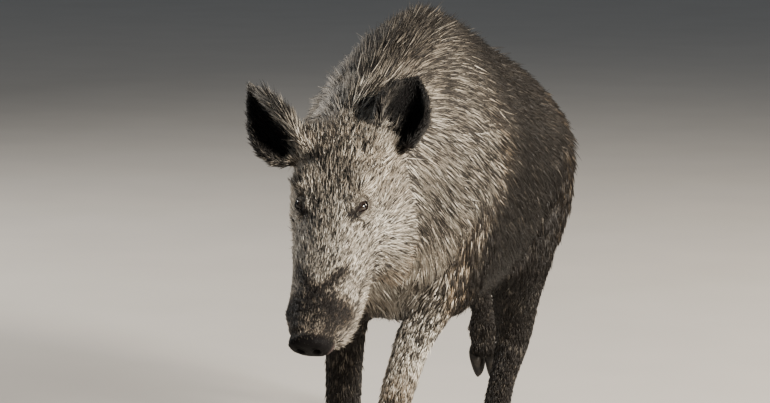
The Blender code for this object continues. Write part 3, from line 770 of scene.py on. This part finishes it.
def unwrap(s):
    """A place on a flat unwrap for each point: a tube for the body, the head and each leg."""
    u = turn_of(s.x, s.z - (TUBE_HEIGHT - 0.04 * ramp(0.2, 0.6, s.y)))
    v = (s.y + 0.46) / 1.14
    own = s.head > 0.5
    u[own] = turn_of(s.side, s.rise + 0.10 - 0.05 * s.share)[own]
    v[own] = (s.share[own] + 0.12) / 1.16
    for leg, line in LEG_LINES.items():
        own = np.char.startswith(s.names, leg)
        knots = np.array(line)[::-1]
        middle_x = np.interp(s.z[own], knots[:, 2], knots[:, 0])
        middle_y = np.interp(s.z[own], knots[:, 2], knots[:, 1])
        u[own] = turn_of(s.x[own] - middle_x, s.y[own] - middle_y)
        v[own] = s.z[own] / 0.64
    for name in EARS:
        own = s.names == name
        root, tip, _, edge = ear_frame(name)
        local = s.outer[own] - root
        v[own] = (local @ tip) / 0.17 + 0.05
        flat = (local @ edge) / 0.16 + 0.5
        u[own] = np.where(s.is_inner_ear[own] > 0.5, 0.5 + flat / 2, flat / 2)
    own = s.names == "tail"
    u[own] = turn_of(s.x[own], s.y[own] - 0.65)
    v[own] = (s.z[own] - 0.38) / 0.30
    s.u, s.v = np.clip(u, 0, 1), np.clip(v, 0, 1)


# ---- Tufts ----
PIECES = [
    f"coat_{side}_{part}"
    for part in ("shoulder", "flank", "rump", "neck", "face")
    for side in ("left", "right")
]
PIECES += ["coat_forelegs", "coat_hind_legs", "coat_ears_and_tail"]
NECK, FACE = PIECES.index("coat_left_neck"), PIECES.index("coat_left_face")
LIMBS = PIECES.index("coat_forelegs")
BODY_CUTS = (0.02, 0.28)  # how far back the shoulder and the flank end
ALL_TUFTS = 372000
MOST_TUFTS = 49900  # in one piece
STRAYS = 0.05  # the share of tufts that swing and stand out
LEADERS = 0.20  # the share of tufts that others gather round
MANE_FROM = 0.3  # a tuft with more mane than this is stiffer
BEND_AT = 0.45  # how far along its length a tuft bends
MOST_BOW = 1.3  # how far it bends from a straight line, in widths


def piece_of_each(s):
    """Which coat piece each point of the skin belongs to, and its own cell on that piece's unwrap."""
    right = (s.x < 0).astype(int)
    piece = 2 * np.digitize(s.y, BODY_CUTS) + right
    cell = np.zeros(len(s.x), int)
    piece[s.names == "neck"] = NECK + right[s.names == "neck"]
    face = np.isin(s.names, ("head", "lower_jaw", "snout_disc", "eye_left", "eye_right"))
    piece[face] = FACE + (s.side[face] < 0)
    for index, leg in enumerate(LEG_LINES):
        own = np.char.startswith(s.names, leg)
        piece[own] = LIMBS + index // 2
        cell[own] = index % 2
    for index, name in enumerate(("ear_left", "ear_right", "tail")):
        own = s.names == name
        piece[own] = LIMBS + 2
        cell[own] = index
    return piece, cell


def sample_roots(s, number):
    """Evenly spread places on the skin: a triangle and three shares for each tuft."""
    corner = s.points[s.triangles]
    area = np.linalg.norm(np.cross(corner[:, 1] - corner[:, 0], corner[:, 2] - corner[:, 0]), axis=1) / 2
    wanted = np.cumsum(area * number[s.triangles].mean(1))
    wanted *= ALL_TUFTS / wanted[-1]
    count = ALL_TUFTS - 1  # so that no pick passes the sum
    triangle = np.searchsorted(wanted, np.arange(count) + dice.random(count))
    a, b = dice.random((2, count))
    over = a + b > 1
    a[over], b[over] = 1 - a[over], 1 - b[over]
    return triangle, np.stack((1 - a - b, a, b), axis=1)


class Tufts:
    """A batch of tufts: where each one grows and how."""


def plant(s, number):
    t = Tufts()
    triangle, shares = sample_roots(s, number)
    corners = s.triangles[triangle]

    def at(values):
        picked = values[corners]
        if picked.ndim == 3:
            return (picked * shares[:, :, None]).sum(1)
        return (picked * shares).sum(1)

    t.root, t.normal, t.lie = at(s.points), unit(at(s.normal)), unit(at(s.lie))
    t.length, t.width, t.lift = at(s.length), at(s.width), at(s.lift)
    t.pale_share, t.light, t.warm = at(s.pale_share), at(s.light), at(s.warm)
    t.mane, t.face, t.hollow = at(s.region["mane"]), at(s.head), at(s.hollow)
    first = corners[np.arange(len(corners)), shares.argmax(1)]
    t.piece, t.cell = s.piece[first], s.cell[first]
    t.u, t.v = s.u[first], s.v[first]
    t.seed = dice.random((len(corners), 8))
    return t


def leader_of_each(t):
    """For each tuft the index of the leading tuft of its lock."""
    leaders = np.flatnonzero(t.seed[:, 7] < LEADERS)
    tree = KDTree(len(leaders))
    for index, leader in enumerate(leaders):
        tree.insert(t.root[leader], index)
    tree.balance()
    return leaders[[tree.find(root)[1] for root in t.root.tolist()]]


def grow(t):
    """Root, two middle points and tip of each tuft, bent over and gathered into locks."""
    count = len(t.root)
    calm = np.where(t.mane > MANE_FROM, 0.45, 1.0)
    across = unit(np.cross(t.lie, t.normal))
    stray = t.seed[:, 0] < STRAYS
    swing = (t.seed[:, 1] - 0.5) * np.where(stray, 1.3, 0.55)
    lie = unit(t.lie * np.cos(swing)[:, None] + across * np.sin(swing)[:, None])
    lift = t.lift * (1 + 0.7 * calm * (t.seed[:, 2] - 0.5)) + np.where(stray, math.radians(12) * calm, 0)
    length = t.length * (1 + 0.66 * calm * (t.seed[:, 3] - 0.56))
    first = unit(lie * np.cos(lift)[:, None] + t.normal * np.sin(lift)[:, None])
    late = lift * np.where(t.mane > MANE_FROM, 0.75, 0.35)
    second = lie * np.cos(late)[:, None] + t.normal * np.sin(late)[:, None]
    second = unit(second - UP * 0.08 + (t.seed[:, 4:7] - 0.5) * 0.25)
    root = t.root - t.normal * np.minimum(0.0012, 0.1 * length)[:, None]
    middle = root + first * (BEND_AT * length)[:, None]
    tip = middle + second * ((1 - BEND_AT) * length)[:, None]
    t.leader = leader_of_each(t)
    pull = (0.50 * ramp(0.008, 0.026, t.length) * (1 - 0.4 * t.seed[:, 5]))[:, None]
    close = np.linalg.norm(root[t.leader] - root, axis=1) < 0.35 * length
    alike = (second[t.leader] * second).sum(1) > 0.80
    same = (close & alike)[:, None]
    tip = tip + np.where(same, pull, 0) * (tip[t.leader] - tip)
    middle = middle + np.where(same, 0.35 * pull, 0) * (middle[t.leader] - middle)
    straight = root + BEND_AT * (tip - root)
    bow = middle - straight
    most = (MOST_BOW * t.width)[:, None] / np.maximum(np.linalg.norm(bow, axis=1, keepdims=True), 1e-6)
    middle = straight + bow * np.minimum(most, 1)
    run = unit(tip - root)
    broad = unit(np.cross(run, t.normal))
    high = np.cross(broad, run)
    width = (t.width * (0.90 + 0.5 * t.seed[:, 6]))[:, None]
    width = np.where(stray[:, None], 0.7 * width, width)
    points = np.empty((count, 4, 3))
    points[:, 0] = root
    points[:, 1] = middle - broad * width / 2 + high * width * 0.25
    points[:, 2] = middle + broad * width / 2 + high * width * 0.25
    points[:, 3] = tip
    arm = points[:, 1:] - points[:, :1]
    inside_out = (np.cross(arm[:, 0], arm[:, 1]) * arm[:, 2]).sum(1) < 0
    points[inside_out, 1:3] = points[inside_out, 2:0:-1]
    t.points = points


def colour_tufts(t):
    """Dark at the root, and pale or dark towards the tip; a lock's tufts tend to share their shade."""
    own_way = t.seed[:, 2] < 0.62 + 0.2 * t.face
    pick = np.where(own_way, t.seed[:, 4], t.seed[t.leader, 4])
    is_pale = pick < t.pale_share
    shade = np.where(own_way, t.seed[:, 5], t.seed[t.leader, 5])
    light = np.where(is_pale, t.light * (0.55 + 0.80 * shade), t.light * 0.18 * shade)
    warm = np.clip(t.warm + (t.seed[:, 6] - 0.5) * 0.40, 0, 1)
    tip = tip_colour(np.clip(light, 0, 1), warm)
    middle_share = (0.55 + 0.35 * t.seed[:, 2])[:, None]
    base = DARK * 1.2 + 0.12 * tip_colour(t.light * t.pale_share, t.warm)
    middle = base + (tip - base) * middle_share
    t.colours = np.stack((base, middle, middle, tip), axis=1)
    # Tufts in the ear's hollow darkened: partly their own dark colour, partly painted shade.
    t.colours *= (1 - 0.8 * t.hollow)[:, None, None]


SIDES = np.array(((0, 2, 1), (3, 1, 2), (0, 1, 3), (0, 3, 2)))  # the faces of a tuft
FLAT = np.array(((0.5, 0.0), (0.0, 0.5), (1.0, 0.5), (0.5, 1.0)))  # each corner's place on a patch
PATCH = 0.003


def patch_corners(t):
    """Where each tuft's faces lie on the piece's unwrap."""
    u, v = t.u.copy(), t.v.copy()
    for piece in range(len(PIECES)):
        own = t.piece == piece
        if piece < LIMBS and own.any():
            u[own] = rescaled(u[own])
            v[own] = rescaled(v[own])
        elif own.any():
            cells = t.cell[own].max() + 1
            u[own] = (t.cell[own] + 0.02 + 0.96 * t.u[own]) / cells
    corner = np.stack((u, v), axis=1) * (1 - 2 * PATCH) + PATCH / 2
    flat = FLAT[SIDES]
    flat[:, :, 0] = (flat[:, :, 0] + np.array((0, 0, 1, 1))[:, None]) / 2
    return corner[:, None, None, :] + flat[None] * PATCH


def rescaled(values):
    low, high = values.min(), values.max()
    return (values - low) / max(high - low, 1e-6)


def paint(mesh, name, colours):
    rows = np.ones((len(colours), 4), np.float32)
    rows[:, :3] = np.clip(colours, 0, 1)
    mesh.color_attributes.new(name, "FLOAT_COLOR", "POINT").data.foreach_set("color", rows.ravel())


def mesh_of_tufts(name, t, own, uv):
    """One object from the chosen tufts."""
    count = len(own)
    mesh = bpy.data.meshes.new(name)
    mesh.vertices.add(count * 4)
    mesh.vertices.foreach_set("co", t.points[own].astype(np.float32).ravel())
    faces = (SIDES[None] + 4 * np.arange(count)[:, None, None]).reshape(-1, 3)
    mesh.loops.add(len(faces) * 3)
    mesh.loops.foreach_set("vertex_index", faces.astype(np.int32).ravel())
    mesh.polygons.add(len(faces))
    mesh.polygons.foreach_set("loop_start", np.arange(0, len(faces) * 3, 3, dtype=np.int32))
    mesh.polygons.foreach_set("use_smooth", np.ones(len(faces), bool))
    layer = mesh.uv_layers.new(name="OFBake")
    layer.data.foreach_set("uv", uv[own].astype(np.float32).ravel())
    paint(mesh, "hair_colour", t.colours[own].reshape(-1, 3))
    mesh.update(calc_edges=True)
    obj = bpy.data.objects.new(name, mesh)
    bpy.context.scene.collection.objects.link(obj)
    return obj


def make_coat(s):
    s.piece, s.cell = piece_of_each(s)
    number = s.number * (1 - ramp(0.2, 0.6, s.bare)) * (1 - s.zone["snout"])
    number = number * (s.horn_gap > 0.0012)
    t = plant(s, number)
    grow(t)
    colour_tufts(t)
    uv = patch_corners(t)
    coat = []
    for index, name in enumerate(PIECES):
        own = np.flatnonzero(t.piece == index)
        if len(own) > MOST_TUFTS:
            own = own[dice.permutation(len(own))[:MOST_TUFTS]]
        coat.append(mesh_of_tufts(name, t, own, uv))
    return coat


# ---- Materials ----
PUPIL, IRIS = (0.002, 0.002, 0.002, 1), (0.018, 0.009, 0.005, 1)
IRIS_EDGE, EYE_WHITE = (0.006, 0.004, 0.003, 1), (0.030, 0.021, 0.018, 1)
HORN_DARK, HORN_PALE = (0.004, 0.0035, 0.0035, 1), (0.018, 0.015, 0.012, 1)


def feed(tree, node, inputs):
    """Links each named input to the output given for it, or gives it the value."""
    for key, value in inputs.items():
        if isinstance(value, bpy.types.NodeSocket):
            tree.links.new(value, node.inputs[key])
        else:
            node.inputs[key].default_value = value


def add(tree, kind, inputs, **settings):
    node = tree.nodes.new("ShaderNode" + kind)
    for key, value in settings.items():
        setattr(node, key, value)
    feed(tree, node, inputs)
    return node


def new_material(name, roughness, specular):
    material = bpy.data.materials.new(name)
    material.use_nodes = True
    tree = material.node_tree
    shader = tree.nodes["Principled BSDF"]
    feed(tree, shader, {"Roughness": roughness, "Specular IOR Level": specular})
    return material, tree, shader


def object_place(tree):
    return add(tree, "TexCoord", {}).outputs["Object"]


def attribute(tree, name, output="Color"):
    return add(tree, "Attribute", {}, attribute_name=name).outputs[output]


def noise_at(tree, scale, detail=4.0):
    inputs = {"Scale": scale, "Detail": detail, "Vector": object_place(tree)}
    return add(tree, "TexNoise", inputs).outputs["Fac"]


def spanned(tree, value, low, high, start=0.25, end=0.75):
    """The value taken from start and end to low and high."""
    inputs = {"Value": value, "From Min": start, "From Max": end, "To Min": low, "To Max": high}
    return add(tree, "MapRange", inputs).outputs["Result"]


def times(tree, colour, factor):
    """A colour made lighter or darker by a factor."""
    return add(tree, "VectorMath", {0: colour, "Scale": factor}, operation="SCALE").outputs["Vector"]


def graded(tree, value, stops):
    """A colour for the value, from stops of a place and a colour."""
    node = add(tree, "ValToRGB", {"Fac": value})
    elements = node.color_ramp.elements
    for index, (position, colour) in enumerate(stops):
        element = elements[index] if index < 2 else elements.new(position)
        element.position, element.color = position, colour
    return node.outputs["Color"]


def bump(tree, height, strength, distance):
    inputs = {"Height": height, "Strength": strength, "Distance": distance}
    return add(tree, "Bump", inputs).outputs["Normal"]


def hair_material():
    material, tree, shader = new_material("bristle", 0.55, 0.20)
    fleck = spanned(tree, noise_at(tree, 260.0, 3.0), 0.78, 1.22)
    colour = times(tree, attribute(tree, "hair_colour"), fleck)
    roughness = spanned(tree, noise_at(tree, 90.0), 0.48, 0.66)
    feed(tree, shader, {"Base Color": colour, "Roughness": roughness})
    return material


def skin_material():
    material, tree, shader = new_material("hide", 0.6, 0.3)
    mottle = spanned(tree, noise_at(tree, 120.0, 6.0), 0.70, 1.30)
    colour = times(tree, attribute(tree, "hide_colour"), mottle)
    roughness = spanned(tree, attribute(tree, "wetness", "Fac"), 0.70, 0.24, 0.0, 1.0)
    pores = bump(tree, noise_at(tree, 420.0, 5.0), 0.5, 0.0012)
    feed(tree, shader, {"IOR": 1.18, "Base Color": colour, "Roughness": roughness, "Normal": pores})
    return material


def horn_material():
    material, tree, shader = new_material("horn", 0.58, 0.16)
    wave = {"Scale": 95.0, "Distortion": 6.0, "Detail": 3.0, "Vector": object_place(tree)}
    rings = add(tree, "TexWave", wave, bands_direction="Z").outputs["Fac"]
    blotches = graded(tree, noise_at(tree, 70.0, 6.0), ((0.32, HORN_DARK), (0.70, HORN_PALE)))
    colour = times(tree, blotches, spanned(tree, rings, 0.90, 1.06))
    feed(tree, shader, {"Base Color": colour, "Normal": bump(tree, rings, 0.14, 0.0006)})
    return material


def eye_material(side):
    """Rings round the way the eye looks: pupil, iris, the iris's dark edge and the white."""
    material, tree, shader = new_material("eye_" + left_or_right(side) + "_gloss", 0.10, 0.4)
    centre, look = eye_place(side)
    gaze = Vector(look).to_track_quat("Z", "Y").to_euler()
    inputs = {"Vector": object_place(tree), "Location": centre, "Rotation": gaze}
    turned = add(tree, "Mapping", inputs, vector_type="TEXTURE").outputs["Vector"]
    flat = add(tree, "VectorMath", {0: turned, 1: (1, 1, 0)}, operation="MULTIPLY").outputs["Vector"]
    gap = add(tree, "VectorMath", {0: flat}, operation="LENGTH").outputs["Value"]
    rings = ((0.34, PUPIL), (0.46, IRIS), (0.80, IRIS_EDGE), (0.95, EYE_WHITE))
    colour = graded(tree, spanned(tree, gap, 0.0, 1.0, 0.0, 0.8 * EYE_RADIUS), rings)
    feed(tree, shader, {"Base Color": colour, "Coat Weight": 0.3, "Coat Roughness": 0.03})
    return material


# ---- Eyes and hooves ----
def linked(bm, name, smooth=True):
    mesh = bpy.data.meshes.new(name)
    bm.to_mesh(mesh)
    bm.free()
    obj = bpy.data.objects.new(name, mesh)
    bpy.context.scene.collection.objects.link(obj)
    if smooth:
        mesh.shade_smooth()
    return obj


def make_eye(side):
    """An eyeball with a cornea that stands a little proud."""
    centre, look = eye_place(side)
    turn = Vector(look).to_track_quat("Z", "Y").to_matrix().to_4x4()
    bm = bmesh.new()
    bmesh.ops.create_uvsphere(bm, u_segments=40, v_segments=32, radius=EYE_RADIUS)
    for vert in bm.verts:
        bulge = max(0.0, vert.co.z / EYE_RADIUS - 0.80) / 0.20
        vert.co *= 1 + 0.05 * bulge
    bmesh.ops.transform(bm, matrix=Matrix.Translation(centre) @ turn, verts=bm.verts)
    name = "eye_" + left_or_right(side)
    eye = linked(bm, "eyeball_" + left_or_right(side))
    eye.data.materials.append(eye_material(side))
    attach(eye, "root")
    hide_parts(name)


def make_horn(name, material):
    """A rounded copy of a claw or dewclaw, with its sole kept flat."""
    bm = bmesh.new()
    bm.from_mesh(nodes[name].data)
    bmesh.ops.remove_doubles(bm, verts=bm.verts, dist=1e-5)
    bmesh.ops.dissolve_limit(bm, angle_limit=0.02, verts=bm.verts, edges=bm.edges)
    crease = bm.edges.layers.float.new("crease_edge")
    for edge in bm.edges:
        if len(edge.link_faces) == 2 and edge.calc_face_angle() > math.radians(50):
            edge[crease] = 0.75
    horn = linked(bm, name + "_horn")
    rounding = horn.modifiers.new("rounding", "SUBSURF")
    rounding.levels = rounding.render_levels = 2
    evaluated(horn)
    horn.data.shade_smooth()
    horn.data.materials.clear()
    horn.data.materials.append(material)
    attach(horn, "root")
    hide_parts(name)


def finish_skin(s):
    mesh = s.object.data
    mesh.vertices.foreach_set("co", s.points.astype(np.float32).ravel())
    mesh.update()
    mesh.shade_smooth()
    paint(mesh, "hide_colour", skin_colour(s))
    wet = np.clip(s.wet + 0.20 * s.zone["snout"], 0, 1).astype(np.float32)
    mesh.attributes.new("wetness", "FLOAT", "POINT").data.foreach_set("value", wet)
    mesh.materials.clear()
    mesh.materials.append(skin_material())
    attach(s.object, "root")
    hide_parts(*[name for name in FLESH if "eye" not in name])


# ---- Studio ----
CAMERA_PLACE = Vector((1.7192, -5.4086, 1.3090))
CAMERA_LOOK = Vector((-0.31110, 0.94109, -0.13256))
CAMERA_LENS = 151.5
LAMPS = (  # name, place, what it aims at, size, watts, tint
    ("key", (4.3, -2.0, 2.1), (0.0, -0.2, 0.55), 1.3, 900, (1.0, 0.94, 0.84)),
    ("fill", (-2.6, -4.0, 1.8), (0.0, -0.2, 0.5), 2.5, 15, (0.82, 0.89, 1.0)),
    ("side", (-4.0, 1.8, 3.2), (0.0, 0.0, 0.6), 2.2, 190, (1.0, 0.96, 0.90)),
    ("back", (3.0, 3.4, 2.2), (0.0, 0.3, 0.6), 1.2, 150, (1.0, 0.86, 0.68)),
)
FLOOR_TONE = (0.56, 0.53, 0.49, 1)
SKY_TONE, SKY_STRENGTH = (0.62, 0.70, 0.80, 1), 0.17


def mounted(name, data, where, look):
    """Links a camera or a lamp that looks the given way."""
    obj = bpy.data.objects.new(name, data)
    obj.location = where
    obj.rotation_euler = look.to_track_quat("-Z", "Y").to_euler()
    bpy.context.scene.collection.objects.link(obj)
    return obj


def make_camera():
    data = bpy.data.cameras.new("camera")
    data.lens = CAMERA_LENS
    data.sensor_width = 36.0
    bpy.context.scene.camera = mounted("camera", data, CAMERA_PLACE, CAMERA_LOOK)


def make_floor():
    bm = bmesh.new()
    bmesh.ops.create_grid(bm, x_segments=1, y_segments=1, size=60.0)
    floor = linked(bm, "studio_floor", smooth=False)
    material, tree, shader = new_material("pale_floor", 0.85, 0.2)
    grain = spanned(tree, noise_at(tree, 3.0), 0.97, 1.03)
    tone = add(tree, "RGB", {})
    tone.outputs[0].default_value = FLOOR_TONE
    tree.links.new(times(tree, tone.outputs[0], grain), shader.inputs["Base Color"])
    floor.data.materials.append(material)


def make_lights():
    for name, where, aim, size, watts, tint in LAMPS:
        light = bpy.data.lights.new(name, "AREA")
        light.shape = "DISK"
        light.size = size
        light.energy = watts
        light.color = tint
        mounted(name, light, where, Vector(aim) - Vector(where))
    world = bpy.data.worlds.new("studio")
    world.use_nodes = True
    backdrop = world.node_tree.nodes["Background"]
    backdrop.inputs["Color"].default_value = SKY_TONE
    backdrop.inputs["Strength"].default_value = SKY_STRENGTH
    bpy.context.scene.world = world


# ---- Build ----
make_camera()
make_floor()
make_lights()
skin = measure(make_outline())
plan_coat(skin)
shape_skin(skin)
skin.lie = comb(skin, skin.normal)
markings(skin)
unwrap(skin)
finish_skin(skin)
bristle = hair_material()
for hair in make_coat(skin):
    hair.data.materials.append(bristle)
    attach(hair, "root")
for eye_side in (-1, 1):
    make_eye(eye_side)
horn = horn_material()
for node_name in sorted(HORN):
    make_horn(node_name, horn)
